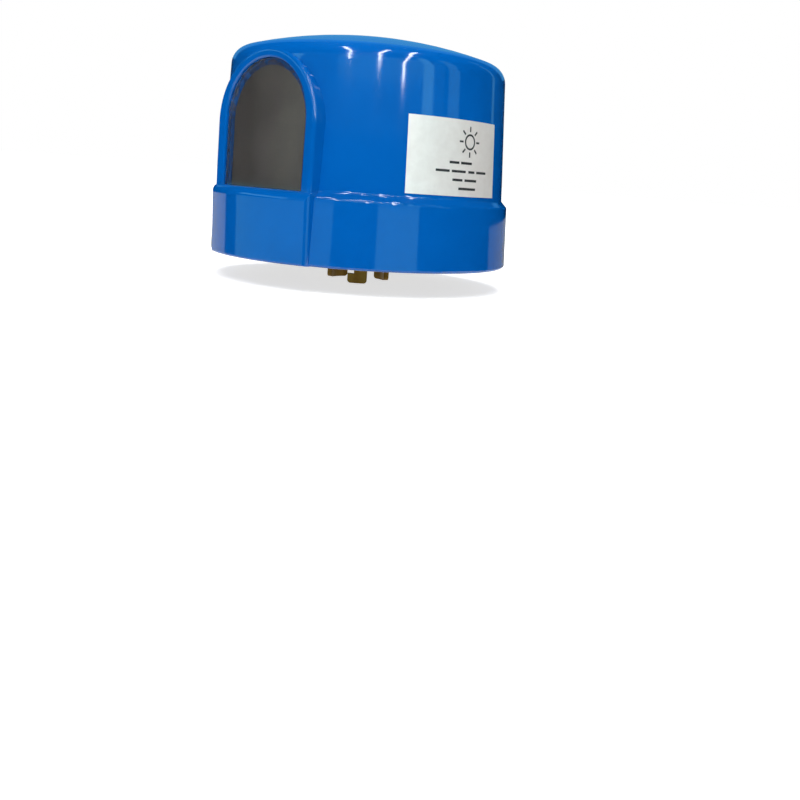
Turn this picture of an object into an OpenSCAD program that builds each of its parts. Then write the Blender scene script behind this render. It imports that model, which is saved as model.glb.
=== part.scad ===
// Plug-in photocell switch: a moulded cover with an arched window, closed by a round base
// with three twist-lock blades. Millimetres, +Z up. The origin is on the axis, at the
// sealing face of the gasket under the base. The window faces -Y.

/* [Cover] */
// Diameter of the skirt at its rim
skirt_d = 84; // [76:0.5:92]
// How much the skirt narrows on each side up to its upper edge
skirt_taper = 0.92; // [0.4:0.02:1.6]
// Height of the skirt from the rim to its upper edge
skirt_h = 16.6; // [14:0.2:20]
// Height of the sloping shoulder above the skirt
shoulder_h = 1.6; // [1.2:0.1:2.4]
// Width of the shoulder between skirt and drum
shoulder_w = 1.59; // [1.2:0.01:2.4]
// Draft of the drum's side, in degrees
drum_draft = 3.8; // [1:0.1:5]
// Height of the cover from the rim to the top of its crown
cover_h = 58.4; // [52:0.2:66]
// Radius of the shallow spherical crown
crown_r = 120; // [100:1:200]
// Rounding between the drum and the crown
edge_r = 4.75; // [3.5:0.25:7]
// Wall thickness of the cover
wall = 2; // [1.6:0.1:2.4]
// Rounding of the rim's outer edge
rim_edge_r = 0.6; // [0.3:0.1:1]
// Rounding of the shoulder's lower edge
shoulder_edge_r = 0.9; // [0.4:0.1:1]
// Fillet at the foot of the drum
shoulder_fillet_r = 0.8; // [0.4:0.1:1]

/* [Window] */
// How far the frame's front face is set in from the foot of the drum
frame_set = 1.05; // [0.8:0.05:1.6]
// Lean of the frame's front face from upright, in degrees
frame_lean = 2.2; // [1.6:0.1:3]
// Depth of the frame's block behind its front face
frame_depth = 4.9; // [4.4:0.1:5.6]
// Width of the frame
frame_w = 35.6; // [32:0.2:38]
// Drop from the top of the crown to the top of the frame's arch
frame_drop = 6.9; // [6.5:0.1:11]
// Rounding of the frame's outer edge
frame_edge_r = 1; // [0.5:0.1:1.4]
// Width of the frame's front at each side
frame_side = 3.2; // [2.8:0.1:5]
// Width of the frame's front at the top of the arch
frame_head = 2.4; // [2:0.1:4]
// Rounding of the opening's edge
opening_edge_r = 0.5; // [0.3:0.1:0.6]
// Height of the sill above the skirt's upper edge
sill_lift = 1.25; // [0.5:0.05:3]
// Rounding of the sill's front edge
sill_edge_r = 2.4; // [1:0.1:3]
// Thickness of the sill behind the panel
sill_t = 2.6; // [2.2:0.1:4]
// How far the panel under the window stands out from the rim
panel_proud = 1.1; // [0.6:0.1:2]
// How far the panel reaches past the frame at each side
panel_lap = 0.3; // [0.2:0.1:1]
// Rounding of the panel's upright edges
panel_edge_r = 1.8; // [0.8:0.1:2.2]
// Thickness of the pane
pane_t = 1.8; // [1.2:0.1:2.4]
// Depth of the pane behind the frame's front face
pane_depth = 0.7; // [0.6:0.1:1]
// Width of the ledge that the pane lies on
ledge_w = 1.6; // [1.2:0.1:2.2]

/* [Label] */
// Width of the label round the drum
label_w = 30.6; // [20:0.2:36]
// Height of the label
label_h = 18.6; // [12:0.2:24]
// Thickness of the label
label_t = 0.15; // [0.1:0.05:0.3]
// Turn of the label's middle from the window, in degrees
label_turn = 80; // [60:1:120]
// Gap between the shoulder and the label
label_lift = 1; // [0.8:0.1:4]

/* [Base and gasket] */
// Thickness of the base
base_t = 4.5; // [4:0.1:6]
// Gap between the gasket and the heads of the cover screws
gasket_gap = 1.67; // [1:0.01:3]
// Width of the gasket's ring
gasket_w = 10; // [6:0.1:11]
// Thickness of the gasket
gasket_t = 3; // [2.4:0.1:3.4]
// How far the gasket stands out below the rim
gasket_proud = 1; // [0.6:0.1:1.6]

/* [Blades] */
// Radius of the blades' middle surface
blade_ring_r = 8.7; // [8:0.1:10]
// Thickness of the blades
blade_t = 1.6; // [1.2:0.1:2]
// Reach of the blades below the gasket
blade_reach = 5.9; // [5:0.1:9]
// Width of the line and load blades at the foot
foot_w = 5.5; // [4.6:0.1:6.4]
// Width of the neutral blade at the foot
neutral_foot_w = 6.8; // [6.6:0.1:8]
// How far each foot hooks out past its stem
hook_w = 1.8; // [1:0.1:2.2]
// Height of the hooked foot
foot_h = 2.6; // [2:0.1:3.4]
// Rounding of the foot's corners
foot_corner_r = 0.9; // [0.4:0.1:1]
// Turn of the line blade from the window, in degrees
blade_turn = 42; // [30:1:60]
// Turn from the line blade to the load blade, in degrees
load_turn = 122; // [110:1:130]
// Turn from the line blade to the neutral blade, in degrees
neutral_turn = -132; // [-135:1:-118]
// Length of the blade's lug on the base, from the ring of blades
lug_l = 6.5; // [6:0.1:8]
// Width of the lug
lug_w = 6; // [5.4:0.1:7]

/* [Fastenings] */
// Diameter of the cover's screw bosses
boss_d = 7; // [6:0.1:8]
// Height of the bosses above the base
boss_h = 18.5; // [15:0.5:24]
// Diameter of the cover screws
screw_d = 2.9; // [2.2:0.1:3.4]
// Length of the cover screws in the bosses
screw_bite = 9; // [6:0.5:13]
// Diameter of the screws' heads
screw_head_d = 5.6; // [4.6:0.1:6]
// Height of the screws' heads
screw_head_h = 1.9; // [1.4:0.1:2.2]
// Diameter of the rivets
rivet_d = 2.6; // [2:0.1:3]
// Diameter of the rivets' heads
rivet_head_d = 4.4; // [3.8:0.1:5]
// Height of the rivets' heads
rivet_head_h = 0.7; // [0.5:0.1:0.9]
// Diameter of the board screws
board_screw_d = 2.2; // [1.8:0.1:2.6]
// Diameter of the board screws' heads
board_screw_head_d = 4.4; // [3.6:0.1:5]
// Height of the board screws' heads
board_screw_head_h = 1.5; // [1:0.1:2]

/* [Circuit board] */
// Diameter of the board
board_d = 52; // [50:0.5:56]
// Thickness of the board
board_t = 1.6; // [1:0.1:2]
// Height of the standoffs under the board
standoff_h = 6; // [4:0.5:9]
// Diameter of the standoffs
standoff_d = 5.4; // [4.6:0.1:6.4]
// Distance from the board's edge to the standoffs
standoff_edge = 4; // [3:0.1:5]
// Width of the blades' tails in the board
tail_w = 2.4; // [1.8:0.1:3]
// Height of the tails above the board
tail_h = 2; // [1.4:0.1:3]
// Diameter of the solder round each tail
solder_d = 5; // [4:0.1:5.4]

/* [Components] */
// Diameter of the components' leads
pin_d = 0.8; // [0.5:0.05:1]
// Length of the leads below the board
pin_out = 1.2; // [0.6:0.1:2]
// Height of raised bodies above the board
stand_off = 1; // [0.6:0.1:2]
// Width of the relay
relay_w = 10; // [8:0.1:11]
// Length of the relay
relay_l = 20; // [16:0.1:21]
// Height of the relay
relay_h = 15; // [10:0.1:20]
// Length of the film capacitor
film_l = 14; // [10:0.1:15]
// Thickness of the film capacitor
film_w = 6; // [4:0.1:7]
// Height of the film capacitor
film_h = 13; // [8:0.1:16]
// Diameter of the varistor
varistor_d = 10; // [7:0.1:11]
// Thickness of the varistor
varistor_t = 3.6; // [2.6:0.1:4.2]
// Diameter of the electrolytic capacitor
can_d = 8; // [6:0.1:9]
// Height of the electrolytic capacitor
can_h = 14; // [10:0.1:20]
// Rounding of the electrolytic capacitor's ends
can_edge_r = 0.6; // [0.3:0.1:1]
// Width of the control chip
chip_w = 6.4; // [5.8:0.1:7]
// Pitch of the control chip's pins
chip_pitch = 2.54; // [2:0.01:2.6]
// Height of the control chip's body
chip_h = 3.4; // [2.6:0.1:4]
// Diameter of the diodes
diode_d = 2.2; // [1.6:0.1:2.3]
// Length of the diodes
diode_l = 4.2; // [3:0.1:5]
// Diameter of the resistors
resistor_d = 2.2; // [1.6:0.1:2.4]
// Length of the resistors
resistor_l = 5.4; // [4:0.1:6]
// Distance between the two leads of a diode or resistor
axial_span = 8; // [7:0.1:8.4]
// Diameter of the transistor
transistor_d = 4.8; // [4:0.1:5.2]
// Height of the sensor's middle above the board
sensor_h = 9.4; // [7:0.1:14]
// Diameter of the light sensor
sensor_d = 5.1; // [4:0.1:6]
// Thickness of the light sensor
sensor_t = 2; // [1.4:0.1:2.4]
// How far the sensor stands out of its holder
sensor_proud = 0.5; // [0.3:0.1:0.8]
// Thickness of the holder round the sensor
holder_rim = 1.5; // [1:0.1:2]
// Thickness of the holder from front to back
holder_t = 5; // [4:0.1:5.6]
// Diameter of the sensor's leads
lead_d = 0.6; // [0.4:0.05:0.8]

/* [Clearances] */
// Gap between the base and the skirt
base_gap = 0.25; // [0.1:0.05:0.4]
// Gap round the blades in their slots
slot_gap = 0.2; // [0.1:0.05:0.4]
// Gap round the edges of the pane and the gasket in their seats
seat_gap = 0.15; // [0.05:0.05:0.3]
// Gap round screws, rivets and pins in their holes
hole_gap = 0.1; // [0.05:0.05:0.2]

/* [Hidden] */
$fn = 96;

// Levels up the axis
rim_z = gasket_proud;
skirt_z = rim_z + skirt_h;
drum_z = skirt_z + shoulder_h;
apex_z = rim_z + cover_h;
sill_z = skirt_z + sill_lift;
base_z = rim_z + base_t;
board_z = base_z + standoff_h;
top_z = board_z + board_t;
tip_z = -blade_reach;

// Radii
skirt_r = skirt_d / 2;
skirt_top_r = skirt_r - skirt_taper;
drum_r = skirt_top_r - shoulder_w;
panel_r = skirt_r + panel_proud;
past = 1;
// Extra radius that lets a rounding cross the lines it meets
bleed = 0.004;

function unit(v) = v / norm(v);
function skirt_at(z) = skirt_r - (skirt_r - skirt_top_r) * (z - rim_z) / skirt_h;
function drum_at(z) = drum_r - (z - drum_z) * tan(drum_draft);

// Rounding of radius r at corner p between a and b: first touch point, centre, last touch point
function rounding(a, p, b, r) =
    let(ua = unit(a - p), ub = unit(b - p), half = acos(ua * ub) / 2)
    [p + ua * r / tan(half), p + unit(ua + ub) * r / sin(half), p + ub * r / tan(half)];

// Rounding between the drum's side and the crown, both moved in by inset
function crown_rounding(inset) =
    let(r = edge_r - inset,
        cap = crown_r - inset,
        middle = [0, apex_z - crown_r],
        foot = [drum_r - inset, drum_z],
        up = [-sin(drum_draft), cos(drum_draft)],
        inward = [-cos(drum_draft), -sin(drum_draft)],
        start = foot + inward * r - middle,
        along = sqrt((start * up) ^ 2 - start * start + (cap - r) ^ 2) - start * up,
        centre = foot + inward * r + up * along)
    [centre - inward * r, centre, middle + (centre - middle) * cap / (cap - r)];

module disc_at(p, r) {
    translate(p) circle(r);
}

// Everything under the crown, from a lower outline that ends at the drum's foot
module under_crown(lower, inset) {
    edge = crown_rounding(inset);
    intersection() {
        polygon(concat(lower, edge, [[edge[2][0], apex_z + past], [0, apex_z + past]]));
        disc_at([0, apex_z - crown_r], crown_r - inset);
    }
    disc_at(edge[1], edge_r - inset + bleed);
}

module outer_section() {
    rim = [skirt_r, rim_z];
    ledge = [skirt_top_r, skirt_z];
    foot = [drum_r, drum_z];
    rim_turn = rounding([0, rim_z], rim, ledge, rim_edge_r);
    ledge_turn = rounding(rim, ledge, foot, shoulder_edge_r);
    fillet = rounding(ledge, foot, crown_rounding(0)[0], shoulder_fillet_r);
    difference() {
        under_crown(concat([[0, rim_z]], rim_turn, ledge_turn, [fillet[0], fillet[2]]), 0);
        disc_at(fillet[1], shoulder_fillet_r + bleed);
    }
    disc_at(rim_turn[1], rim_edge_r + bleed);
    disc_at(ledge_turn[1], shoulder_edge_r + bleed);
}

module inner_section() {
    low = rim_z - past;
    drop = wall / 2;
    under_crown([[0, low], [skirt_at(low) - wall, low], [skirt_top_r - wall, skirt_z - drop],
        [drum_r - wall, drum_z - drop]], wall);
}

// Window pieces are drawn face on: X across, Y up the frame's front face from the sill, Z out of it
frame_half = frame_w / 2;
frame_foot = drum_r - frame_set;
frame_back = frame_foot - frame_depth;
panel_half = frame_half + panel_lap;
frame_h = (apex_z - frame_drop - sill_z) / cos(frame_lean);
frame_spring = frame_h - frame_half;
opening_half = frame_half - frame_side;
opening_spring = frame_h - frame_head - opening_half;
pane_back = -pane_depth - pane_t;
far = panel_r + past;

module face_on() {
    translate([0, -frame_foot, sill_z]) rotate([90 - frame_lean, 0, 0]) children();
}

module above_sill() {
    intersection() {
        children();
        translate([-far, -far, sill_z]) cube([2 * far, far, apex_z]);
    }
}

// An arched block: its half section is turned over the arch and drawn down to the foot
module arched(spring, foot) {
    translate([0, spring, 0]) {
        rotate_extrude(angle = 180) children();
        rotate([90, 0, 0]) linear_extrude(spring - foot) {
            children();
            mirror([1, 0]) children();
        }
    }
}

module plain_section(half, back, front) {
    translate([0, back]) square([half, front - back]);
}

module frame_section() {
    inner = frame_half - frame_edge_r;
    plain_section(frame_half, -frame_depth, -frame_edge_r);
    plain_section(inner, -frame_depth, 0);
    disc_at([inner, -frame_edge_r], frame_edge_r);
}

// The opening: a rounded lip, the pane's seat, and a narrower hole that leaves the ledge
module opening_section() {
    lip = opening_half + opening_edge_r;
    difference() {
        union() {
            plain_section(opening_half - ledge_w, -frame_depth - past, far);
            plain_section(opening_half, pane_back, far);
            plain_section(lip, -opening_edge_r, far);
        }
        disc_at([lip, -opening_edge_r], opening_edge_r);
    }
}

// What a rounding of radius r takes off a square corner at p, toward the signs in way
module corner_waste(p, way, r) {
    middle = p - way * r;
    difference() {
        polygon([middle, [p[0] + way[0] * past, middle[1]], p + way * past,
            [middle[0], p[1] + way[1] * past]]);
        disc_at(middle, r + bleed);
    }
}

// The curved panel under the window seen from above, with rounded sides
module panel_outline() {
    side = panel_half - panel_edge_r;
    bend = [side, -sqrt((panel_r - panel_edge_r) ^ 2 - side ^ 2)];
    difference() {
        intersection() {
            circle(panel_r);
            translate([-panel_half, -panel_r]) square([2 * panel_half, panel_r - frame_back]);
        }
        for (way = [0, 1]) mirror([way, 0]) difference() {
            polygon([bend, [panel_half + past, bend[1]], [panel_half + past, -panel_r],
                unit(bend) * (panel_r + past)]);
            disc_at(bend, panel_edge_r + bleed);
        }
    }
}

module panel() {
    intersection() {
        translate([0, 0, rim_z]) linear_extrude(sill_z - rim_z) panel_outline();
        rotate_extrude() difference() {
            translate([0, rim_z]) square([panel_r, sill_z - rim_z]);
            corner_waste([panel_r, sill_z], [1, 1], sill_edge_r);
            corner_waste([panel_r, rim_z], [1, -1], rim_edge_r);
        }
    }
}

// The floor behind the panel that carries the pane
module sill() {
    intersection() {
        translate([past - frame_half, -far, sill_z - sill_t])
            cube([frame_w - 2 * past, far - frame_back - past, sill_t]);
        cylinder(r = skirt_top_r - wall / 2, h = sill_z);
    }
}

// Screw bosses inside the cover
boss_r = boss_d / 2;
boss_bite = wall * 0.4;
boss_top = base_z + boss_h;
boss_ring_r = drum_at(boss_top) - wall + boss_bite - boss_r;
boss_turns = [90, 210, 330];

module at_bosses() {
    for (turn = boss_turns) rotate([0, 0, turn]) translate([boss_ring_r, 0, 0]) children();
}

module boss() {
    web_l = skirt_top_r - wall + boss_bite - boss_ring_r;
    difference() {
        union() {
            translate([0, 0, base_z]) cylinder(d = boss_d, h = boss_h);
            translate([0, -wall / 2, base_z]) cube([web_l, wall, skirt_z - wall - base_z]);
        }
        translate([0, 0, base_z - past])
            cylinder(d = screw_d + hole_gap, h = screw_bite + past + boss_r);
    }
}

module cover() {
    color("dodgerblue") {
        difference() {
            union() {
                difference() {
                    union() {
                        rotate_extrude() outer_section();
                        panel();
                    }
                    rotate_extrude() inner_section();
                    above_sill() face_on() translate([-frame_half, -past, 0])
                        cube([frame_w, frame_h + 2 * past, far]);
                }
                face_on() arched(frame_spring, -sill_t / 2) frame_section();
                sill();
            }
            above_sill() face_on() arched(opening_spring, -past) opening_section();
        }
        at_bosses() boss();
    }
}

module window_pane() {
    color("dimgray") above_sill() face_on() arched(opening_spring, -past)
        plain_section(opening_half - seat_gap, pane_back, -pane_depth);
}

module rating_label() {
    low = drum_z + label_lift;
    high = low + label_h;
    sweep = label_w / drum_at(low + label_h / 2) * 180 / PI;
    foot = drum_at(low) + bleed;
    head = drum_at(high) + bleed;
    color("gainsboro") rotate([0, 0, label_turn - 90 - sweep / 2]) rotate_extrude(angle = sweep)
        polygon([[foot, low], [foot + label_t, low], [head + label_t, high], [head, high]]);
}

// Base, gasket and what fastens them
base_r = skirt_at(base_z) - wall - base_gap;
head_z = rim_z + screw_head_h + hole_gap * 3;
lug_z = base_z + blade_t;
gasket_d = 2 * (boss_ring_r - gasket_gap) - screw_head_d;
gasket_hole_d = gasket_d - 2 * gasket_w;
rivet_ring_r = blade_ring_r + lug_l - lug_w / 2;
board_r = board_d / 2;
standoff_ring_r = board_r - standoff_edge;
standoff_turns = [60, 180, 300];

module ring(inner_d, outer_d, low, high) {
    translate([0, 0, low]) difference() {
        cylinder(d = outer_d, h = high - low);
        translate([0, 0, -past]) cylinder(d = inner_d, h = high - low + 2 * past);
    }
}

module at_standoffs() {
    for (turn = standoff_turns) rotate([0, 0, turn]) translate([standoff_ring_r, 0, 0]) children();
}

module base() {
    color("darkslategray") difference() {
        union() {
            translate([0, 0, rim_z]) cylinder(r = base_r, h = base_t);
            translate([0, 0, base_z]) at_standoffs() cylinder(d = standoff_d, h = standoff_h);
        }
        ring(gasket_hole_d - 2 * seat_gap, gasket_d + 2 * seat_gap, 0, gasket_t);
        at_bosses() {
            cylinder(d = screw_d + 4 * hole_gap, h = base_z + past);
            cylinder(d = screw_head_d + 4 * hole_gap, h = head_z);
        }
        at_standoffs() translate([0, 0, base_z])
            cylinder(d = board_screw_d + hole_gap, h = standoff_h + past);
        at_blades() {
            blade_slot();
            translate([0, -rivet_ring_r, 0]) cylinder(d = rivet_d + hole_gap, h = base_z + past);
        }
    }
}

module base_gasket() {
    color("black") ring(gasket_hole_d, gasket_d, 0, gasket_t);
}

// A pan-head screw standing on its head's seat, with a cross recess
module pan_screw(d, length, head_d, head_h) {
    slot_w = head_d / 7;
    crown = head_h * 0.4;
    ball = (head_d ^ 2 / 4 + crown ^ 2) / (2 * crown);
    cylinder(d = d, h = length);
    difference() {
        intersection() {
            translate([0, 0, -head_h]) cylinder(d = head_d, h = head_h);
            translate([0, 0, ball - head_h]) sphere(ball);
        }
        for (turn = [0, 90]) rotate([0, 0, turn])
            translate([-head_d * 0.3, -slot_w / 2, -head_h - past])
            cube([head_d * 0.6, slot_w, head_h / 2 + past]);
    }
}

module cover_screws() {
    color("silver") at_bosses() translate([0, 0, head_z])
        pan_screw(screw_d, base_z - head_z + screw_bite, screw_head_d, screw_head_h);
}

// Blades: an arc of strip cut to a hooked outline, with a riveted lug and a tail for the board
blade_turns = [blade_turn, blade_turn + load_turn, blade_turn + neutral_turn];
blade_feet = [foot_w, foot_w, neutral_foot_w];
blade_out_r = blade_ring_r + blade_t / 2;
tail_z = top_z + tail_h;

module at_blade(i) {
    rotate([0, 0, blade_turns[i]]) children();
}

module at_blades() {
    for (i = [0, 1, 2]) {
        $foot = blade_feet[i];
        at_blade(i) children();
    }
}

module strip_arc(low, high, gap) {
    ring(2 * blade_ring_r - blade_t - 2 * gap, 2 * blade_ring_r + blade_t + 2 * gap, low, high);
}

module blade_slot() {
    width = $foot + 2 * slot_gap;
    intersection() {
        strip_arc(0, base_z + past, slot_gap);
        translate([-width / 2, -blade_out_r - past, 0]) cube([width, blade_out_r, base_z + past]);
    }
}

module blade_outline(foot) {
    half = foot / 2;
    knee = tip_z + foot_corner_r;
    translate([-half, knee]) square([foot, foot_h - foot_corner_r]);
    translate([foot_corner_r - half, tip_z]) square([foot - 2 * foot_corner_r, foot_h]);
    for (side = [-1, 1]) disc_at([side * (half - foot_corner_r), knee], foot_corner_r);
    translate([hook_w - half, knee]) square([foot - hook_w, lug_z - knee]);
    translate([-tail_w / 2, base_z]) square([tail_w, tail_z - base_z]);
}

module blade(foot) {
    intersection() {
        strip_arc(tip_z, tail_z, 0);
        rotate([90, 0, 0]) linear_extrude(blade_out_r + past) blade_outline(foot);
    }
    difference() {
        translate([-lug_w / 2, -blade_ring_r - lug_l, base_z])
            cube([lug_w, lug_l, blade_t]);
        translate([0, 0, base_z - past]) cylinder(r = blade_ring_r, h = blade_t + 2 * past);
        translate([0, -rivet_ring_r, base_z - past])
            cylinder(d = rivet_d + hole_gap, h = blade_t + 2 * past);
    }
}

module line_blade() {
    color("goldenrod") at_blade(0) blade(foot_w);
}

module load_blade() {
    color("goldenrod") at_blade(1) blade(foot_w);
}

module neutral_blade() {
    color("goldenrod") at_blade(2) blade(neutral_foot_w);
}

module blade_rivets() {
    color("darkgoldenrod") at_blades() translate([0, -rivet_ring_r, 0]) {
        translate([0, 0, rim_z]) cylinder(d = rivet_d, h = lug_z - rim_z);
        translate([0, 0, lug_z]) cylinder(d1 = rivet_head_d, d2 = rivet_d, h = rivet_head_h);
        translate([0, 0, rim_z - rivet_head_h])
            cylinder(d1 = rivet_d, d2 = rivet_head_d, h = rivet_head_h);
    }
}

// Circuit board, and where its components stand on it, as shares of its radius
pin_l = board_t + pin_out;
relay_pins = [for (x = [-0.35, 0.35], y = [-0.4, 0.15, 0.4]) [x * relay_w, y * relay_l]];
film_pins = [[-0.4 * film_l, 0], [0.4 * film_l, 0]];
disc_pins = [[-varistor_d / 4, 0], [varistor_d / 4, 0]];
can_pins = [[-can_d / 4, 0], [can_d / 4, 0]];
chip_l = chip_pitch * 3.7;
chip_row = chip_w * 0.6;
chip_pins = [for (x = [-chip_row, chip_row], i = [-1.5 : 1.5]) [x, i * chip_pitch]];
axial_pins = [[-axial_span / 2, 0], [axial_span / 2, 0]];
transistor_pins = [for (i = [-1 : 1]) [i * transistor_d * 0.27, 0]];
diode_pitch = diode_d * 1.14;
resistor_spots = [[-0.6, -0.145], [-0.6, -0.255], [0.06, -0.6]];

module on_board(x, y) {
    translate([x * board_r, y * board_r, top_z]) children();
}

module at_relay() { on_board(0.58, 0.08) children(); }
module at_film() { on_board(-0.474, -0.606) rotate([0, 0, -38]) children(); }
module at_varistor() { on_board(0.6, -0.48) children(); }
module at_can() { on_board(-0.15, 0.69) children(); }
module at_chip() { on_board(-0.54, 0.31) children(); }
module at_transistor() { on_board(0.02, -0.42) children(); }

module at_diodes() {
    on_board(0, 0.02) for (i = [-1.5 : 1.5]) translate([0, i * diode_pitch, 0]) children();
}

module at_resistors() {
    for (spot = resistor_spots) on_board(spot[0], spot[1]) children();
}

module pins(places, d, up) {
    for (p = places) translate([p[0], p[1], -pin_l]) cylinder(d = d, h = pin_l + up);
}

module circuit_board() {
    hole_d = pin_d + 2 * hole_gap;
    color("darkgreen") difference() {
        translate([0, 0, board_z]) cylinder(r = board_r, h = board_t);
        at_standoffs() cylinder(d = board_screw_d + 2 * hole_gap, h = top_z + past);
        at_blades() intersection() {
            strip_arc(board_z - past, top_z + past, slot_gap);
            translate([-tail_w / 2 - slot_gap, -blade_out_r - past, 0])
                cube([tail_w + 2 * slot_gap, blade_out_r, top_z + past]);
        }
        at_relay() pins(relay_pins, hole_d, past);
        at_film() pins(film_pins, hole_d, past);
        at_varistor() pins(disc_pins, hole_d, past);
        at_can() pins(can_pins, hole_d, past);
        at_chip() pins(chip_pins, hole_d, past);
        at_diodes() pins(axial_pins, hole_d, past);
        at_resistors() pins(axial_pins, hole_d, past);
        at_transistor() pins(transistor_pins, hole_d, past);
        at_sensor() lead_drops(lead_d + 2 * hole_gap);
    }
}

module board_screws() {
    color("silver") at_standoffs() translate([0, 0, top_z]) rotate([180, 0, 0])
        pan_screw(board_screw_d, board_t + standoff_h * 0.8, board_screw_head_d, board_screw_head_h);
}

module blade_solder() {
    color("lightgray") at_blades() difference() {
        translate([0, -blade_ring_r, top_z]) cylinder(d1 = solder_d, d2 = solder_d * 0.68, h = tail_h * 0.65);
        intersection() {
            strip_arc(top_z - past, tail_z, 0);
            translate([-tail_w / 2, -blade_out_r - past, 0]) cube([tail_w, blade_out_r, tail_z]);
        }
    }
}

// A block with rounded upright edges, standing on the board
module rounded_block(size, r) {
    linear_extrude(size[2]) {
        square([size[0] - 2 * r, size[1]], center = true);
        square([size[0], size[1] - 2 * r], center = true);
        for (x = [-1, 1], y = [-1, 1]) disc_at([x * (size[0] / 2 - r), y * (size[1] / 2 - r)], r);
    }
}

module relay() {
    color("black") at_relay() {
        rounded_block([relay_w, relay_l, relay_h], relay_w * 0.06);
        pins(relay_pins, pin_d, past);
    }
}

module film_capacitor() {
    color("firebrick") at_film() {
        translate([0, 0, stand_off]) rounded_block([film_l, film_w, film_h], film_w * 0.45);
        pins(film_pins, pin_d, stand_off + past);
    }
}

module varistor() {
    color("royalblue") at_varistor() {
        translate([0, varistor_t / 2, varistor_d / 2 + stand_off]) rotate([90, 0, 0])
            cylinder(d = varistor_d, h = varistor_t);
        pins(disc_pins, pin_d, stand_off * 3);
    }
}

module electrolytic_capacitor() {
    can_r = can_d / 2;
    color("midnightblue") at_can() {
        rotate_extrude() {
            square([can_r - can_edge_r, can_h]);
            translate([0, can_edge_r]) square([can_r, can_h - 2 * can_edge_r]);
            for (z = [can_edge_r, can_h - can_edge_r]) disc_at([can_r - can_edge_r, z], can_edge_r);
        }
        pins(can_pins, pin_d, past);
    }
}

// A body on its side with a lead bent down at each end
module axial(body_d, body_l) {
    lead_z = body_d / 2 + stand_off / 2;
    translate([0, 0, lead_z]) rotate([0, 90, 0]) {
        cylinder(d = body_d, h = body_l, center = true);
        cylinder(d = pin_d, h = axial_span, center = true);
    }
    for (p = axial_pins) translate([p[0], 0, lead_z]) sphere(d = pin_d);
    pins(axial_pins, pin_d, lead_z);
}

module rectifier_diodes() {
    color("dimgray") at_diodes() axial(diode_d, diode_l);
}

module resistors() {
    color("burlywood") at_resistors() axial(resistor_d, resistor_l);
}

module switching_transistor() {
    flat = transistor_d * 0.3;
    color("black") at_transistor() {
        translate([0, 0, stand_off * 2]) intersection() {
            cylinder(d = transistor_d, h = transistor_d);
            translate([-transistor_d, -flat, 0]) cube(transistor_d * 2);
        }
        pins(transistor_pins, pin_d * 0.75, stand_off * 2 + past);
    }
}

module control_chip() {
    knee = stand_off * 2;
    color("black") at_chip() {
        translate([0, 0, stand_off]) rounded_block([chip_w, chip_l, chip_h], chip_w * 0.05);
        pins(chip_pins, pin_d, knee);
        for (p = chip_pins) translate([p[0] * 0.85 - pin_d, p[1] - pin_d / 2, knee - pin_d / 2])
            cube([pin_d * 2, pin_d, pin_d / 2]);
    }
}

// Light sensor in its holder, facing the window
holder_w = sensor_d + 2 * holder_rim;
seat_y = sensor_t - sensor_proud - holder_t / 2;
lead_gap = sensor_d / 3;
drop_y = holder_t / 2 + stand_off;

module at_sensor() {
    on_board(0.05, -0.8) translate([0, 0, sensor_h]) children();
}

module lead_drops(d) {
    for (x = [-lead_gap, lead_gap]) translate([x, drop_y, -sensor_h - pin_l])
        cylinder(d = d, h = sensor_h + pin_l);
}

module lead_runs(d) {
    for (x = [-lead_gap, lead_gap]) translate([x, seat_y, 0]) rotate([-90, 0, 0])
        cylinder(d = d, h = drop_y - seat_y);
}

module sensor_holder() {
    color("whitesmoke") at_sensor() difference() {
        union() {
            rotate([90, 0, 0]) cylinder(d = holder_w, h = holder_t, center = true);
            translate([-holder_w / 2, -holder_t / 2, -sensor_h]) cube([holder_w, holder_t, sensor_h]);
        }
        translate([0, seat_y, 0]) rotate([90, 0, 0])
            cylinder(d = sensor_d + 2 * hole_gap, h = holder_t);
        lead_runs(lead_d + 2 * hole_gap);
    }
}

module photo_sensor() {
    color("peru") at_sensor() translate([0, seat_y, 0]) rotate([90, 0, 0])
        cylinder(d = sensor_d, h = sensor_t);
}

module sensor_leads() {
    color("silver") at_sensor() {
        lead_runs(lead_d);
        lead_drops(lead_d);
        for (x = [-lead_gap, lead_gap]) translate([x, drop_y, 0]) sphere(d = lead_d);
    }
}

cover();
window_pane();
rating_label();
base();
base_gasket();
line_blade();
load_blade();
neutral_blade();
blade_rivets();
cover_screws();
circuit_board();
board_screws();
blade_solder();
relay();
film_capacitor();
varistor();
electrolytic_capacitor();
rectifier_diodes();
resistors();
switching_transistor();
control_chip();
sensor_holder();
photo_sensor();
sensor_leads();
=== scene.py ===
# %% [markdown]
# # Dressing a plug-in photocell switch
# The object is a round blue moulding with an arched window of smoky plastic, and it plugs in by three
# brass blades under its rim. Its solids come from a CAD model that is loaded as a fixed frame, so this
# lesson is about light, finishes and the few thin pieces that CAD leaves out. It could all be modelled
# here instead, but then its sizes could drift from the real ones.

# %% Load the frame
import math
import bmesh
import bpy
from mathutils import Matrix, Vector


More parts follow.
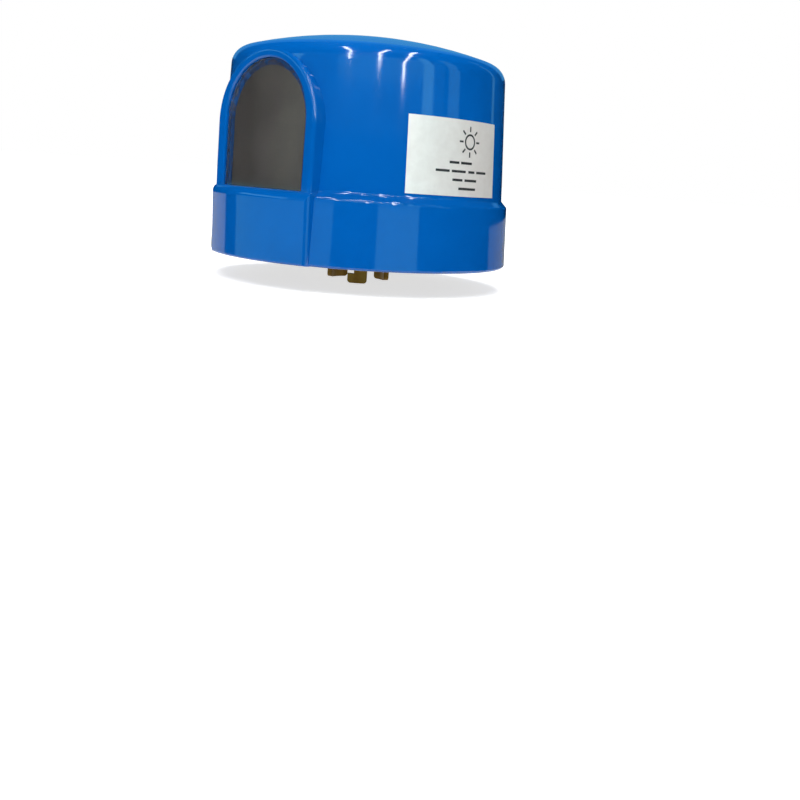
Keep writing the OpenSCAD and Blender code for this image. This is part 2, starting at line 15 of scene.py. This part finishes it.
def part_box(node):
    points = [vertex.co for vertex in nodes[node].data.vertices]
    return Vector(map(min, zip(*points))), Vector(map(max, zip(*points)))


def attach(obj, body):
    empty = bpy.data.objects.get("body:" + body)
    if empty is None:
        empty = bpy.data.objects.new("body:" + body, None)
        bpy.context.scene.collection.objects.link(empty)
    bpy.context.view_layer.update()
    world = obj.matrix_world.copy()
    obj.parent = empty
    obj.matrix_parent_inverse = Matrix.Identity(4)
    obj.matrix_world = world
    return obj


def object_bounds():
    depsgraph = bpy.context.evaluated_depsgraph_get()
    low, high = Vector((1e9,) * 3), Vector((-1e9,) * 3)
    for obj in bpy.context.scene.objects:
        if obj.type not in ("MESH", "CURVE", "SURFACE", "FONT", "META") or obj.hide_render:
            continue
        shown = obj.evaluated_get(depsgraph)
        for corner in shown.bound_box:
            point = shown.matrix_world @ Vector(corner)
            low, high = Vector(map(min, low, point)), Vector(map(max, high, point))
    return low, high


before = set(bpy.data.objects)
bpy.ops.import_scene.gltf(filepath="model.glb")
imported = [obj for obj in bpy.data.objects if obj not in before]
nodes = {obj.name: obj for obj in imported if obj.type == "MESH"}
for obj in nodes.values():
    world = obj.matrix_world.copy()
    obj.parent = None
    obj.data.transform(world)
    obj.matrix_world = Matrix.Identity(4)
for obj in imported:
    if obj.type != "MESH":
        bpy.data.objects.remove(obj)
cad_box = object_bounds()
MM = 0.001
print("nodes:", len(nodes), "box in mm:", [[round(v / MM, 1) for v in corner] for corner in cad_box])

# %% [markdown]
# ## The camera
# The camera stands almost level with the object, close enough for strong perspective, and a little
# rolled. Its place is given round the axis: the window faces -Y, and the camera looks from 42 degrees
# to the right of it. A Track To constraint could aim it but wouldn't roll it, so its three directions
# are worked out from a yaw, a pitch and a roll, and become its matrix.

# %% Camera
VIEW_TURN = math.radians(42.3)
CAMERA_DISTANCE = 260.0 * MM
CAMERA_HEIGHT = 24.04 * MM
AIM_YAW = math.radians(3.326)
AIM_PITCH = math.radians(-14.087)
ROLL = math.radians(4.265)
LENS, SENSOR_WIDTH = 39.98, 36.0
CLIP_START = 5 * MM

around = Matrix.Rotation(VIEW_TURN, 4, "Z")


def from_camera(right, toward, up):
    """A point given in the camera's own directions round the axis, in metres."""
    return around @ Vector((right, -toward, up))


ahead = (around @ Vector((math.sin(AIM_YAW) * math.cos(AIM_PITCH),
                          math.cos(AIM_YAW) * math.cos(AIM_PITCH),
                          math.sin(AIM_PITCH)))).normalized()
level = ahead.cross(Vector((0, 0, 1))).normalized()
upright = level.cross(ahead)
across = level * math.cos(ROLL) + upright * math.sin(ROLL)
upward = upright * math.cos(ROLL) - level * math.sin(ROLL)

camera_data = bpy.data.cameras.new("camera")
camera_data.lens = LENS
camera_data.sensor_width = SENSOR_WIDTH
camera_data.clip_start = CLIP_START
camera = bpy.data.objects.new("camera", camera_data)
place = Matrix((across, upward, -ahead)).transposed().to_4x4()
place.translation = from_camera(0, CAMERA_DISTANCE, CAMERA_HEIGHT)
camera.matrix_world = place
bpy.context.collection.objects.link(camera)
bpy.context.scene.camera = camera
print("camera at mm:", [round(v / MM, 1) for v in place.translation])

# %% [markdown]
# ## Node helpers
# Each finish below is a small node tree on Object coordinates, in metres. A noise that should show
# features about a millimetre wide therefore has a scale near 1000. The trees could be built by hand in
# the editor, but most differ only in their numbers, so these helpers build them: one makes a noise,
# one turns it into two tones, one turns it into a bump.

# %% Node helpers
GRAIN_ROUGHNESS = 0.55


def add_node(tree, kind, **sockets):
    """A new node with its named inputs set."""
    node = tree.nodes.new(kind)
    for name, value in sockets.items():
        node.inputs[name.replace("_", " ")].default_value = value
    return node


def maths(tree, operation, *factors):
    """A maths node fed by sockets or plain numbers."""
    node = tree.nodes.new("ShaderNodeMath")
    node.operation = operation
    for socket, factor in zip(node.inputs, factors):
        if isinstance(factor, bpy.types.NodeSocket):
            tree.links.new(factor, socket)
        else:
            socket.default_value = factor
    return node.outputs[0]


def noise(tree, scale, detail=3.0, stretch=(1, 1, 1)):
    """Noise on Object coordinates, drawn out along an axis where stretch is below 1."""
    coords = tree.nodes.new("ShaderNodeTexCoord")
    mapping = add_node(tree, "ShaderNodeMapping", Scale=stretch)
    grain = add_node(tree, "ShaderNodeTexNoise", Scale=scale, Detail=detail, Roughness=GRAIN_ROUGHNESS)
    tree.links.new(coords.outputs["Object"], mapping.inputs["Vector"])
    tree.links.new(mapping.outputs["Vector"], grain.inputs["Vector"])
    return grain.outputs["Fac"]


def tones(tree, factor, dark, light, low=0.35, high=0.65):
    """A two-tone ramp driven by factor."""
    ramp = tree.nodes.new("ShaderNodeValToRGB")
    first, last = ramp.color_ramp.elements
    first.position, last.position = low, high
    first.color = (*dark, 1)
    last.color = (*light, 1)
    tree.links.new(factor, ramp.inputs["Fac"])
    return ramp.outputs["Color"]


def spread(tree, factor, low, high):
    """factor spread over a range of plain numbers."""
    node = add_node(tree, "ShaderNodeMapRange", To_Min=low, To_Max=high)
    tree.links.new(factor, node.inputs["Value"])
    return node.outputs["Result"]


def bump(tree, factor, height):
    """A bump of a real height, in metres."""
    node = add_node(tree, "ShaderNodeBump", Strength=1.0, Distance=height)
    tree.links.new(factor, node.inputs["Height"])
    return node.outputs["Normal"]


print("node helpers ready")


# %% Finish helpers
def finish(name, dark, light, tone_scale, rough, peel_scale, peel_height, stretch=(1, 1, 1), **sockets):
    """A material with two close tones, uneven gloss and a fine bump."""
    made = bpy.data.materials.new(name)
    made.use_nodes = True
    tree = made.node_tree
    shader = tree.nodes["Principled BSDF"]
    for socket, value in sockets.items():
        shader.inputs[socket.replace("_", " ")].default_value = value
    blotch = noise(tree, tone_scale, stretch=stretch)
    tree.links.new(tones(tree, blotch, dark, light), shader.inputs["Base Color"])
    tree.links.new(spread(tree, blotch, *rough), shader.inputs["Roughness"])
    peel = noise(tree, peel_scale, detail=2.0, stretch=stretch)
    tree.links.new(bump(tree, peel, peel_height), shader.inputs["Normal"])
    made.diffuse_color = (*light, 1)
    return made


def wear(node_names, made):
    """Gives CAD nodes their finish."""
    for node_name in node_names:
        slots = nodes[node_name].data.materials
        slots.clear()
        slots.append(made)
    print(made.name, "on", ", ".join(node_names))


def dress(rows, **sockets):
    """Makes the finish of each row and gives it to the row's nodes."""
    for node_names, finish_name, *look, peel_mm in rows:
        wear(node_names, finish(finish_name, *look, peel_mm * MM, **sockets))


def glowing(name, tint, strength):
    """A material that only gives light."""
    made = bpy.data.materials.new(name)
    made.use_nodes = True
    tree = made.node_tree
    tree.nodes.remove(tree.nodes["Principled BSDF"])
    light = add_node(tree, "ShaderNodeEmission", Color=tint, Strength=strength)
    tree.links.new(light.outputs[0], tree.nodes["Material Output"].inputs["Surface"])
    return made


print("finish helpers ready")

# %% [markdown]
# ## Studio
# The floor and the world are white to the camera, and also to mirrors and glass where no card of the
# next step stands in front. More lamps would whiten them too, but they would bleach the object, so the
# rays that show the background get the white by themselves. Near the object the floor is ordinary
# paint that keeps a soft shadow, and with distance it turns plain white, so no horizon shows.

# %% World
ROOM_LIGHT = 0.25
WHITE = (1, 1, 1, 1)


def seen_ray(tree):
    """1 for rays that show the background: straight, mirrored or through glass."""
    path = tree.nodes.new("ShaderNodeLightPath").outputs
    plain = maths(tree, "MAXIMUM", path["Is Camera Ray"], path["Is Glossy Ray"])
    return maths(tree, "MAXIMUM", plain, path["Is Transmission Ray"])


world = bpy.data.worlds.new("studio")
bpy.context.scene.world = world
world.use_nodes = True
tree = world.node_tree
sky = tree.nodes["Background"]
sky.inputs["Color"].default_value = WHITE
tree.links.new(spread(tree, seen_ray(tree), ROOM_LIGHT, 1.0), sky.inputs["Strength"])
print("world lights the room at:", ROOM_LIGHT)

# %% Floor
FLOOR_SIZE, FLOOR_DROP = 6.0, 0.02 * MM
FLOOR_PAINT = (0.8, 0.8, 0.8, 1)
SHADOW_NEAR, SHADOW_FAR = 0.05, 0.16
GLOW_NEAR, GLOW_FAR = 0.68, 1.0


def as_object(name, bm, made):
    """The bmesh as an object in the scene that wears a finish."""
    data = bpy.data.meshes.new(name)
    bm.to_mesh(data)
    bm.free()
    data.materials.append(made)
    built = bpy.data.objects.new(name, data)
    bpy.context.collection.objects.link(built)
    return built


paper = glowing("white_floor", WHITE, 1.0)
tree = paper.node_tree
glow = tree.nodes["Emission"]
paint = add_node(tree, "ShaderNodeBsdfDiffuse", Color=FLOOR_PAINT)
coords = tree.nodes.new("ShaderNodeTexCoord")
reach = tree.nodes.new("ShaderNodeVectorMath")
reach.operation = "LENGTH"
fade = add_node(tree, "ShaderNodeMapRange", From_Min=SHADOW_NEAR, From_Max=SHADOW_FAR,
                To_Min=GLOW_NEAR, To_Max=GLOW_FAR)
blend = tree.nodes.new("ShaderNodeAddShader")
tree.links.new(coords.outputs["Object"], reach.inputs[0])
tree.links.new(reach.outputs["Value"], fade.inputs["Value"])
tree.links.new(maths(tree, "MULTIPLY", fade.outputs["Result"], seen_ray(tree)), glow.inputs["Strength"])
tree.links.new(paint.outputs[0], blend.inputs[0])
tree.links.new(glow.outputs[0], blend.inputs[1])
tree.links.new(blend.outputs[0], tree.nodes["Material Output"].inputs["Surface"])

floor_z = cad_box[0][2]
bm = bmesh.new()
bmesh.ops.create_grid(bm, x_segments=1, y_segments=1, size=FLOOR_SIZE)
bmesh.ops.translate(bm, vec=(0, 0, floor_z - FLOOR_DROP), verts=bm.verts)
as_object("floor", bm, paper)
print("floor at mm:", round(floor_z / MM, 2))

# %% [markdown]
# ## Room cards
# Gloss shows its surroundings, so they are built as curved cards round the object. A picture of a room
# on the world would do that too, but cards can be moved one at a time until each stripe on the gloss
# is in its place. The camera never sees them, and they give no light to dull surfaces. A low ring
# stands close, where the skirt and the panel mirror it: two cool bright stretches with dark between
# them. Higher up the room is dark, with pale uprights that the drum shows as stripes. Each card is one
# short line, from its foot to its head, spun round the axis.

# %% Places of the cards
COOL = (0.32, 0.95, 1.0, 1)
PALE = (1.0, 1.0, 0.85, 1)
SKY = (0.13, 0.55, 1.0, 1)
NEAR_FOOT, NEAR_HEAD = (0.1, floor_z), (0.1, 0.0215)
TALL_FOOT, TALL_HEAD = (0.87, 0.16), (0.87, 0.85)
FULL_TURN = (-180, 180)
# Each row: name, turns right of the camera in degrees, foot and head as radius and height, strength, tint
CARDS = (
    ("near_left_edge", (-150, -93.5), NEAR_FOOT, NEAR_HEAD, 0.8, PALE),
    ("near_left_gap", (-93.5, -81), NEAR_FOOT, NEAR_HEAD, 0.0, COOL),
    ("near_left", (-81, -16), NEAR_FOOT, NEAR_HEAD, 0.85, COOL),
    ("near_front", (-16, 9.5), NEAR_FOOT, NEAR_HEAD, 0.0, COOL),
    ("near_right", (9.5, 34.3), NEAR_FOOT, NEAR_HEAD, 1.05, COOL),
    ("near_side", (34.3, 96), NEAR_FOOT, NEAR_HEAD, 0.0, COOL),
    ("near_right_edge", (96, 150), NEAR_FOOT, (0.1, 0.013), 0.33, PALE),
    ("right_shade", (96, 150), (0.1, 0.013), NEAR_HEAD, 0.0, COOL),
    ("near_back", (150, 210), NEAR_FOOT, NEAR_HEAD, 0.55, PALE),
    ("back_shade", (96, 266.5), NEAR_HEAD, (0.1, 0.045), 0.0, COOL),
    ("low_shade", FULL_TURN, (0.2, floor_z), (0.2, 0.035), 0.02, COOL),
    ("dark_wall", FULL_TURN, (0.9, 0.03), (0.9, 1.6), 0.02, COOL),
    ("dark_ceiling", FULL_TURN, (0.9, 1.6), (0.001, 1.6), 0.1, COOL),
    ("left_window", (-100, -55), (0.87, 0.26), (0.87, 0.42), 2.0, COOL),
    ("haze_front", (-60, 62), (0.88, 0.18), (0.88, 0.6), 0.22, COOL),
    ("pale_front", (-25, 43), (0.87, 0.235), (0.87, 0.6), 0.85, COOL),
    ("pale_stripe", (43, 52), TALL_FOOT, TALL_HEAD, 2.0, COOL),
    ("dim_stripe", (66, 77), TALL_FOOT, TALL_HEAD, 0.9, COOL),
    ("thin_stripe", (121, 125), (0.87, 0.1), TALL_HEAD, 0.6, COOL),
    ("back_glow", (145, 215), (0.87, 0.18), (0.87, 1.5), 0.6, SKY),
)
print("room cards planned:", len(CARDS))

# %% Room cards
CARD_STEPS = 64


def room_card(name, turns, foot, head, strength, tint):
    """A card from foot to head, spun from one turn to another, that only gloss sees."""
    first, last = (math.radians(turn) for turn in turns)
    bm = bmesh.new()
    low = bm.verts.new(from_camera(foot[0] * math.sin(first), foot[0] * math.cos(first), foot[1]))
    high = bmesh.ops.extrude_vert_indiv(bm, verts=[low])["verts"]
    rise = from_camera(head[0] * math.sin(first), head[0] * math.cos(first), head[1]) - low.co
    bmesh.ops.translate(bm, vec=rise, verts=high)
    bmesh.ops.spin(bm, geom=bm.verts[:] + bm.edges[:], cent=(0, 0, 0), axis=(0, 0, 1),
                   angle=last - first, steps=CARD_STEPS, use_merge=turns == FULL_TURN,
                   use_duplicate=False)
    card = as_object(name, bm, glowing(name, tint, strength))
    card.visible_camera = False
    card.visible_diffuse = False
    card.visible_transmission = False
    card.visible_shadow = False


for row in CARDS:
    room_card(*row)
print("room cards made:", len(CARDS))

# %% [markdown]
# ## Lamps
# Straight tubes on a ceiling draw the three bright hooks on the rounded top edge: each tube starts far
# behind the camera and runs overhead, and its mirror image bends outwards as it climbs the edge. One
# kind of lamp could do all the work, but then the lamps that light the colours would show as square
# patches in the gloss. So the tubes are for gloss alone, and two broad lamps are for dull surfaces
# alone. Their power is set so that a colour renders about as it is written where it faces the camera.

# %% Lamps
TOP_EDGE = from_camera(0, 36 * MM, 50 * MM)
LAMP_DISTANCE = 0.8
TUBE_WIDTH, TUBE_BRIGHTNESS = 0.027, 25
# Places are degrees right of the camera's side and above level, as the top edge sees them
TUBES = {
    "tube_left": ((-16.8, 15), (-22, 55), (-62, 75)),
    "tube_middle": ((7.5, 14), (10.5, 56), (45, 77)),
    "tube_right": ((27.5, 12.3), (32.5, 32.6), (58, 63.3), (92, 68.5)),
}
# Each broad lamp has two ends, a width in metres and a brightness
BROAD_LAMPS = {
    "soft_key": ((-8, 32), (-8, 56), 0.4, 10.8),
    "soft_top": ((180, 60), (180, 85), 0.5, 7.4),
}


def from_edge(turn, rise):
    """The point at that place, in metres."""
    turn, rise = math.radians(turn), math.radians(rise)
    return TOP_EDGE + LAMP_DISTANCE * from_camera(math.cos(rise) * math.sin(turn),
                                                  math.cos(rise) * math.cos(turn), math.sin(rise))


def lamp(name, start, stop, width, brightness, mirrored):
    """A straight lamp from one place to another that faces the object; gloss or dull surfaces see it."""
    start, stop = from_edge(*start), from_edge(*stop)
    data = bpy.data.lights.new(name, "AREA")
    data.shape = "RECTANGLE"
    data.size, data.size_y = width, (stop - start).length
    data.energy = math.pi * data.size * data.size_y * brightness
    middle = (start + stop) / 2
    along = (stop - start).normalized()
    outward = middle - TOP_EDGE
    outward = (outward - along * outward.dot(along)).normalized()
    made = bpy.data.objects.new(name, data)
    place = Matrix((along.cross(outward), along, outward)).transposed().to_4x4()
    place.translation = middle
    made.matrix_world = place
    made.visible_camera = False
    made.visible_glossy = mirrored
    made.visible_diffuse = not mirrored
    bpy.context.collection.objects.link(made)


for name, path in TUBES.items():
    for part, (start, stop) in enumerate(zip(path, path[1:])):
        lamp(f"{name}_{part}", start, stop, TUBE_WIDTH, TUBE_BRIGHTNESS, True)
for name, (start, stop, width, brightness) in BROAD_LAMPS.items():
    lamp(name, start, stop, width, brightness, False)

# %% [markdown]
# ## Blue gloss plastic
# The cover is one injection moulding in a strong blue. A plain colour with low roughness would look
# like paint on glass: on the real one the tool's polish leaves a faint orange peel, and the pigment
# flows in barely visible clouds. So the colour has two close tones, the gloss varies a little, and the
# bump is a few microns high.

# %% Cover finish
blue = finish("blue_gloss_plastic", dark=(0.0, 0.114, 0.47), light=(0.0, 0.121, 0.495), tone_scale=90,
              rough=(0.06, 0.1), peel_scale=420, peel_height=0.004 * MM, Specular_IOR_Level=0.5, IOR=1.5)
wear(["cover"], blue)

# %% [markdown]
# ## Smoky pane
# The window is tinted clear plastic, so the blue ledge that it rests on shows through its rim as navy.
# A dark opaque gloss would look alike from afar, but it would hide that rim. Principled transmission
# gives the tint, and a little roughness softens what lies behind.

# %% Pane finish
PANE_CLEAR, PANE_IOR = 0.985, 1.45
TINT_SCALE, HAZE_SCALE = 60, 160
smoke = bpy.data.materials.new("smoky_clear_plastic")
smoke.use_nodes = True
tree = smoke.node_tree
shader = tree.nodes["Principled BSDF"]
shader.inputs["Transmission Weight"].default_value = PANE_CLEAR
shader.inputs["IOR"].default_value = PANE_IOR
tint = tones(tree, noise(tree, TINT_SCALE, detail=2.0), (0.50, 0.49, 0.475), (0.56, 0.55, 0.53))
haze = spread(tree, noise(tree, HAZE_SCALE), 0.04, 0.09)
tree.links.new(tint, shader.inputs["Base Color"])
tree.links.new(haze, shader.inputs["Roughness"])
smoke.diffuse_color = (0.2, 0.2, 0.2, 1)
wear(["window_pane"], smoke)

# %% [markdown]
# ## Metals
# The blades are stamped brass strip, so their grain runs along the strip and their tone is uneven from
# handling. Screws are zinc plated, and solder is duller and lumpier than both. One grey for all would
# pass at a distance; separate rows cost little, and each metal then keeps its own tone and grain.

# %% Metal finishes
# Both brass tones are set darker than clean brass, as painted shade from the rim above the blades.
brass = finish("stamped_brass", dark=(0.11, 0.062, 0.011), light=(0.22, 0.132, 0.03), tone_scale=260,
               rough=(0.28, 0.5), peel_scale=1500, peel_height=0.01 * MM, stretch=(1, 1, 0.15), Metallic=1.0)
wear(["line_blade", "load_blade", "neutral_blade"], brass)

# Each row: nodes, finish, dark and light tone, tone scale, roughness, bump scale, bump height in mm
METALS = (
    (["blade_rivets"], "peened_brass", (0.42, 0.28, 0.08), (0.58, 0.41, 0.14), 500, (0.3, 0.5), 900, 0.02),
    (["cover_screws", "board_screws"], "zinc_plate", (0.50, 0.51, 0.52), (0.66, 0.66, 0.65), 700,
     (0.25, 0.42), 1800, 0.006),
    (["sensor_leads"], "tinned_wire", (0.55, 0.55, 0.54), (0.68, 0.68, 0.67), 900, (0.25, 0.4), 2500, 0.004),
    (["blade_solder"], "dull_solder", (0.42, 0.42, 0.43), (0.58, 0.58, 0.58), 900, (0.3, 0.55), 1600, 0.03),
)
dress(METALS, Metallic=1.0)

# %% [markdown]
# ## Under the rim and inside
# The base is a dull mineral-filled moulding with a fine speckle, and the gasket is foam rubber whose
# cells make it rough. The pieces on the board keep the usual colours of their kind. The pane hides
# most of them, so they share one simple kind of finish, and only its numbers change.

# %% Base, gasket and components
# Each row: nodes, finish, dark and light tone, tone scale, roughness, bump scale, bump height in mm
MOULDED = (
    (["base"], "filled_phenolic", (0.018, 0.018, 0.02), (0.034, 0.034, 0.037), 900, (0.45, 0.6), 1400, 0.012),
    (["base_gasket"], "foam_rubber", (0.012, 0.012, 0.012), (0.03, 0.03, 0.03), 1600,
     (0.75, 0.95), 2400, 0.08),
    (["circuit_board"], "green_solder_resist", (0.008, 0.034, 0.014), (0.014, 0.05, 0.021), 300,
     (0.25, 0.4), 1200, 0.01),
    (["relay"], "relay_case", (0.02, 0.028, 0.06), (0.03, 0.04, 0.08), 400, (0.35, 0.5), 1500, 0.01),
    (["film_capacitor"], "dipped_red_coat", (0.24, 0.03, 0.012), (0.36, 0.055, 0.02), 260,
     (0.15, 0.3), 500, 0.03),
    (["varistor"], "dipped_blue_coat", (0.012, 0.06, 0.2), (0.02, 0.09, 0.28), 260, (0.2, 0.35), 500, 0.03),
    (["electrolytic_capacitor"], "printed_sleeve", (0.012, 0.015, 0.05), (0.02, 0.025, 0.075), 300,
     (0.2, 0.35), 900, 0.01),
    (["rectifier_diodes", "switching_transistor", "control_chip"], "black_mould", (0.012, 0.012, 0.012),
     (0.03, 0.03, 0.03), 900, (0.4, 0.55), 1800, 0.01),
    (["resistors"], "tan_lacquer", (0.44, 0.29, 0.15), (0.56, 0.39, 0.22), 700, (0.2, 0.35), 900, 0.02),
    (["sensor_holder"], "white_holder", (0.52, 0.51, 0.47), (0.62, 0.61, 0.57), 500, (0.4, 0.55), 1500, 0.01),
    (["photo_sensor"], "sensor_coat", (0.36, 0.22, 0.11), (0.5, 0.34, 0.19), 700, (0.2, 0.35), 1500, 0.01),
)
dress(MOULDED)

# %% [markdown]
# ## Label
# A foil label is wrapped on the drum. Foil is part mirror and part white coat, so it darkens as the
# drum turns away from the lamps, and it takes a faint grain from its backing. Full metal would mirror
# the dark room and plain white would stay too even, so the finish has only a share of metal.

# %% Label finish
foil = finish("label_foil", dark=(0.91, 0.88, 0.84), light=(0.955, 0.93, 0.89), tone_scale=500,
              rough=(0.34, 0.44), peel_scale=1800, peel_height=0.006 * MM, Metallic=0.26)
wear(["rating_label"], foil)

# %% [markdown]
# ## Label print
# A real rating label is printed. Here it carries a plain sun sign, as this switch works by daylight,
# and rows of blank bars where lines of small print would be. A texture could draw them, but thin
# pieces of ink stay sharp at any distance. The marks are drawn flat, in millimetres from the label's
# middle, given the thickness of ink, and bent round the drum.

# %% Flat marks
BEND_STEP = 0.4


def strip(bm, right, up, width, height):
    """A flat bar, cut along its length so that it can bend."""
    cuts = max(1, round(width / BEND_STEP))
    bar = bmesh.ops.create_grid(bm, x_segments=cuts, y_segments=1, size=0.5)["verts"]
    bmesh.ops.scale(bm, vec=(width, height, 1), verts=bar)
    bmesh.ops.translate(bm, vec=(right, up, 0), verts=bar)
    return bar


def thicken(bm, depth):
    """Flat faces become a closed layer that reaches as far as the vector says."""
    grown = bmesh.ops.extrude_face_region(bm, geom=bm.faces[:])["geom"]
    moved = [g for g in grown if isinstance(g, bmesh.types.BMVert)]
    bmesh.ops.translate(bm, vec=depth, verts=moved)
    bmesh.ops.recalc_face_normals(bm, faces=bm.faces)


def add_piece(name, bm, made):
    """The bmesh as a piece of the object that wears a finish."""
    piece = as_object(name, bm, made)
    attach(piece, "root")
    print(name, "faces:", len(piece.data.polygons))


print("helpers for flat marks ready")

# %% The label's curve
EDGE_BAND = 0.1 * MM
label = nodes["rating_label"].data
label_low, label_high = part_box("rating_label")
foot_r = max(v.co.xy.length for v in label.vertices if v.co.z < label_low.z + EDGE_BAND)
head_r = max(v.co.xy.length for v in label.vertices if v.co.z > label_high.z - EDGE_BAND)
label_mid = sum((v.co.xy for v in label.vertices), Vector((0, 0)))
label_turn = math.atan2(label_mid.x, -label_mid.y)


def on_label(mark):
    """A point of a flat mark, in millimetres, as a point on the label, in metres."""
    height = (label_low.z + label_high.z) / 2 + mark.y * MM
    share = (height - label_low.z) / (label_high.z - label_low.z)
    radius = foot_r + (head_r - foot_r) * share
    turn = label_turn + mark.x * MM / radius
    radius += mark.z * MM
    return Vector((radius * math.sin(turn), -radius * math.cos(turn), height))


print("label radius in mm:", round(foot_r / MM, 2), "to", round(head_r / MM, 2))

# %% Label print
INK = 0.02
SUN_MIDDLE, SUN_R, SUN_LINE, SUN_STEPS = (3.4, 4.1), 1.5, 0.45, 40
RAYS, RAY_R, RAY_L = 8, 3.1, 1.3
BAR_H = 0.6
# Each row: height of a line of bars, then the middle and width of each bar
SMALL_PRINT = (
    (-1.1, ((-1.8, 3.2), (2.4, 4.0))),
    (-3.2, ((-5.4, 4.2), (-0.2, 4.8), (4.4, 2.4), (8.6, 4.4))),
    (-5.3, ((-0.6, 3.4), (4.2, 4.6))),
    (-7.4, ((3.0, 6.4),)),
)

bm = bmesh.new()
inner = bm.verts.new((SUN_R, 0, 0))
outer = bmesh.ops.extrude_vert_indiv(bm, verts=[inner])["verts"]
bmesh.ops.translate(bm, vec=(SUN_LINE, 0, 0), verts=outer)
bmesh.ops.spin(bm, geom=bm.verts[:] + bm.edges[:], cent=(0, 0, 0), axis=(0, 0, 1), angle=math.tau,
               steps=SUN_STEPS, use_merge=True, use_duplicate=False)
for ray in range(RAYS):
    bar = strip(bm, 0, RAY_R, SUN_LINE, RAY_L)
    turned = Matrix.Rotation(ray * math.tau / RAYS, 3, "Z")
    bmesh.ops.rotate(bm, cent=(0, 0, 0), matrix=turned, verts=bar)
bmesh.ops.translate(bm, vec=(*SUN_MIDDLE, 0), verts=bm.verts)
for up, bars in SMALL_PRINT:
    for right, width in bars:
        strip(bm, right, up, width, BAR_H)
thicken(bm, Vector((0, 0, INK)))
for vert in bm.verts:
    vert.co = on_label(vert.co)
bmesh.ops.recalc_face_normals(bm, faces=bm.faces)
ink = finish("label_ink", dark=(0.018, 0.018, 0.02), light=(0.045, 0.045, 0.045), tone_scale=1400,
             rough=(0.4, 0.6), peel_scale=2600, peel_height=0.002 * MM)
add_piece("label_print", bm, ink)

# %% [markdown]
# ## Sensor track
# The face of a light sensor of this kind carries one thin strip of light-sensitive film that runs to
# and fro. It could be a striped texture, but the strip has real edges that catch light, so it is a few
# bars on the face, joined in turn at the bottom and the top.

# %% Sensor track
TRACK_BARS, TRACK_PITCH = 5, 0.6
TRACK_W, TRACK_H, TRACK_T = 0.26, 3.0, 0.03
sensor_low, sensor_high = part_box("photo_sensor")
sensor_mid = (sensor_low + sensor_high) / 2
bm = bmesh.new()
for row in range(TRACK_BARS):
    right = (row - (TRACK_BARS - 1) / 2) * TRACK_PITCH
    strip(bm, right, 0, TRACK_W, TRACK_H)
    if row < TRACK_BARS - 1:
        end = (TRACK_H - TRACK_W) / 2
        strip(bm, right + TRACK_PITCH / 2, end if row % 2 else -end, TRACK_PITCH - TRACK_W, TRACK_W)
thicken(bm, Vector((0, 0, TRACK_T)))
bmesh.ops.scale(bm, vec=(MM, MM, MM), verts=bm.verts)
bmesh.ops.rotate(bm, cent=(0, 0, 0), matrix=Matrix.Rotation(math.pi / 2, 3, "X"), verts=bm.verts)
bmesh.ops.translate(bm, vec=(sensor_mid.x, sensor_low.y, sensor_mid.z), verts=bm.verts)
film = finish("sensor_film", dark=(0.3, 0.07, 0.02), light=(0.42, 0.11, 0.03), tone_scale=900,
              rough=(0.3, 0.45), peel_scale=2200, peel_height=0.004 * MM)
add_piece("sensor_track", bm, film)

# %% [markdown]
# ## Pane frost
# Behind the pane, inside the ledge, a thin frosted layer spreads daylight over the sensor and hides
# the works. More haze in the pane itself would hide them too, but it would also hide the navy rim. The
# layer's outline is the pane's own back face: that face is copied, its rim is pulled in past the ledge
# and cut away, and what is left gets the thickness of a coat. Its grey is darker towards the window's
# left as painted shade, so the usual ramp is driven by the place across the pane, with the clouds added.

# %% Pane frost
FROST_RIM, FROST_T, FROST_GAP = 1.75 * MM, 0.05 * MM, 0.01 * MM
MERGE_DISTANCE = 0.001 * MM
BACK_FACING = 0.9
bm = bmesh.new()
bm.from_mesh(nodes["window_pane"].data)
bmesh.ops.remove_doubles(bm, verts=bm.verts, dist=MERGE_DISTANCE)
bm.normal_update()
front = [f for f in bm.faces if f.normal.y < BACK_FACING]
bmesh.ops.delete(bm, geom=front, context="FACES")
rim = bmesh.ops.inset_region(bm, faces=bm.faces[:], thickness=FROST_RIM, use_even_offset=True)["faces"]
bmesh.ops.delete(bm, geom=rim, context="FACES")
inward = sum((f.normal for f in bm.faces), Vector()).normalized()
bmesh.ops.translate(bm, vec=inward * FROST_GAP, verts=bm.verts)
thicken(bm, inward * FROST_T)
# The dark tone is the painted shade at the window's left, and the light tone is the frost's own grey.
frost = finish("grey_frost", dark=(0.085, 0.068, 0.068), light=(0.31, 0.31, 0.3), tone_scale=90,
               rough=(0.55, 0.75), peel_scale=2200, peel_height=0.02 * MM, Transmission_Weight=0.35)
add_piece("pane_frost", bm, frost)

# %% Frost shading
CLOUD_SHARE = 0.3
SHADE_START, SHADE_END = 0.4, 1.0
pane_low, pane_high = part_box("window_pane")
tree = frost.node_tree
ramp = tree.nodes["Principled BSDF"].inputs["Base Color"].links[0].from_node
clouds = ramp.inputs["Fac"].links[0].from_socket
coords = tree.nodes.new("ShaderNodeTexCoord")
parts = tree.nodes.new("ShaderNodeSeparateXYZ")
sideways = add_node(tree, "ShaderNodeMapRange", From_Min=pane_low.x, From_Max=pane_high.x)
tree.links.new(coords.outputs["Object"], parts.inputs["Vector"])
tree.links.new(parts.outputs["X"], sideways.inputs["Value"])
# Painted shade: the place across the pane darkens the frost towards the window's left.
shade = maths(tree, "MULTIPLY_ADD", clouds, CLOUD_SHARE, sideways.outputs["Result"])
tree.links.new(shade, ramp.inputs["Fac"])
first, last = ramp.color_ramp.elements
first.position, last.position = SHADE_START, SHADE_END
print("frost shaded over mm:", round((pane_high.x - pane_low.x) / MM, 1))

# %% [markdown]
# ## View transform
# The Standard view shows colours as they are written, where Blender's usual view would soften them.

# %% View transform
bpy.context.scene.view_settings.view_transform = "Standard"
